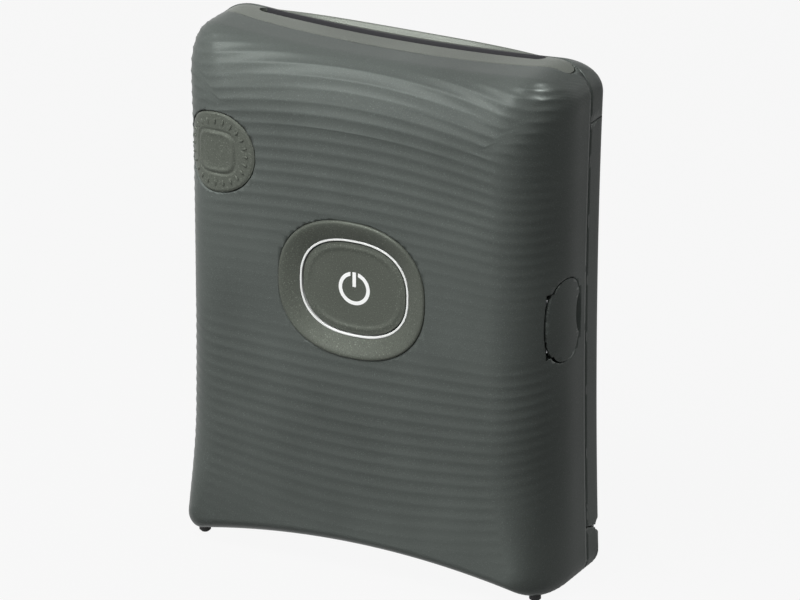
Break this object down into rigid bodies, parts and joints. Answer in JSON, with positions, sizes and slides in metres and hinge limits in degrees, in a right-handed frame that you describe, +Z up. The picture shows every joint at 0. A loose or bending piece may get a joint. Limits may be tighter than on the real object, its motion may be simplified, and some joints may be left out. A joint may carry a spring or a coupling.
{
  "type": "compact photo printer",
  "caption": "Compact free-standing printer for instant film sheets, with a large front power button, a film slot on top, a hinged film door at the back and a hinged port cover on the side.",
  "frame": {"origin": "on the ground under the middle of the body", "axes": "+Z up, the front face with the power button towards -Y, +X to the printer's left-hand side as seen from behind, which is the right of the front view"},
  "size_m": [0.0974, 0.034, 0.1275],
  "materials": {
    "casing_plastic": "moulded dark grey-green plastic with a fine metallic speckle and soft ripples on the front",
    "trim_plastic": "satin warm grey metallic paint with a fine speckle",
    "panel_metallic": "satin light grey metallic paint",
    "guide_clear": "translucent white plastic",
    "symbol_white": "white inlaid plastic",
    "black_plastic": "moulded black plastic with a fine grain",
    "gear_plastic": "natural nylon",
    "steel": "plated sheet steel and wire",
    "rubber": "black elastomer",
    "felt": "black felt",
    "board": "green solder mask on glass-fibre board",
    "cell": "crimped laminate foil",
    "flex": "amber film",
    "lens": "clear moulded lens strip"
  },
  "bodies": {
    "casing": {"front_shell": "casing_plastic", "top_rear_cover": "casing_plastic", "bottom_rear_cover": "casing_plastic", "top_panel": "panel_metallic", "slot_felt": "felt", "feet": "rubber", "power_ring": "trim_plastic", "light_guide": "guide_clear", "power_dome": "rubber", "switch_board": "board", "function_dome": "rubber", "function_switch": "black_plastic", "port_hinge_pin": "steel", "usb_socket": "steel", "socket_tongue": "black_plastic", "reset_switch": "black_plastic", "main_board": "board", "shield_can": "steel", "board_chips": "black_plastic", "battery": "cell", "flex_cable": "flex", "chamber_frame": "black_plastic", "exposure_head": "black_plastic", "lens_strip": "lens", "side_plate_left": "steel", "side_plate_right": "steel", "roller_bushes": "gear_plastic", "idler_pin": "steel", "motor_body": "steel", "claw_spring": "steel", "hinge_pin": "steel", "case_screws": "steel", "board_screws": "steel", "plate_screws": "steel"},
    "power_button": {"power_button": "trim_plastic", "power_symbol": "symbol_white"},
    "function_button": {"function_button": "trim_plastic"},
    "reset_button": {"reset_button": "trim_plastic"},
    "port_cover": {"port_cover": "casing_plastic"},
    "film_door": {"film_door": "casing_plastic", "door_hinge_leaf": "black_plastic", "pressure_springs": "steel", "door_seal": "felt"},
    "door_latch": {"door_latch": "trim_plastic"},
    "drive_roller": {"drive_shaft": "steel", "drive_sleeve": "rubber", "roller_gear": "gear_plastic"},
    "pinch_roller": {"pinch_roller": "steel"},
    "idler_gear": {"idler_gear": "gear_plastic"},
    "motor_pinion": {"motor_pinion": "gear_plastic"},
    "claw": {"claw_slider": "gear_plastic"}
  },
  "joints": [
    {"name": "power_press", "type": "slide", "parent": "casing", "child": "power_button", "axis": [0, 1, 0], "range_m": [0, 0.0005], "stiffness_N_per_m": 300},
    {"name": "function_press", "type": "slide", "parent": "casing", "child": "function_button", "axis": [0.2924, 0.9563, 0], "range_m": [0, 0.0006], "stiffness_N_per_m": 300},
    {"name": "reset_press", "type": "slide", "parent": "casing", "child": "reset_button", "axis": [-1, 0, 0], "range_m": [0, 0.0004], "stiffness_N_per_m": 200},
    {"name": "port_cover_hinge", "type": "hinge", "parent": "casing", "child": "port_cover", "pos_m": [0.04506, -0.006, 0.068], "axis": [0, 0, -1], "range_deg": [0, 90]},
    {"name": "film_door_hinge", "type": "hinge", "parent": "casing", "child": "film_door", "pos_m": [0, 0.0153, 0.0112], "axis": [-1, 0, 0], "range_deg": [0, 90]},
    {"name": "latch_slide", "type": "slide", "parent": "film_door", "child": "door_latch", "axis": [0, 0, 1], "range_m": [0, 0.0022]},
    {"name": "drive_roller_spin", "type": "hinge", "parent": "casing", "child": "drive_roller", "pos_m": [0, 0.00615, 0.117], "axis": [1, 0, 0], "continuous": true},
    {"name": "pinch_roller_spin", "type": "hinge", "parent": "casing", "child": "pinch_roller", "pos_m": [0, 0.01205, 0.117], "axis": [1, 0, 0], "continuous": true},
    {"name": "idler_spin", "type": "hinge", "parent": "casing", "child": "idler_gear", "pos_m": [0, 0.00158, 0.10535], "axis": [1, 0, 0], "continuous": true},
    {"name": "pinion_spin", "type": "hinge", "parent": "casing", "child": "motor_pinion", "pos_m": [0, -0.00425, 0.0978], "axis": [1, 0, 0], "continuous": true},
    {"name": "claw_slide", "type": "slide", "parent": "casing", "child": "claw", "axis": [0, 0, 1], "range_m": [0, 0.008], "stiffness_N_per_m": 25, "deforming": ["claw_spring"]}
  ],
  "couplings": [
    {"joint": "pinch_roller_spin", "follows": "drive_roller_spin", "ratio": -1.3333},
    {"joint": "idler_spin", "follows": "drive_roller_spin", "ratio": -0.90909},
    {"joint": "pinion_spin", "follows": "drive_roller_spin", "ratio": 2}
  ]
}
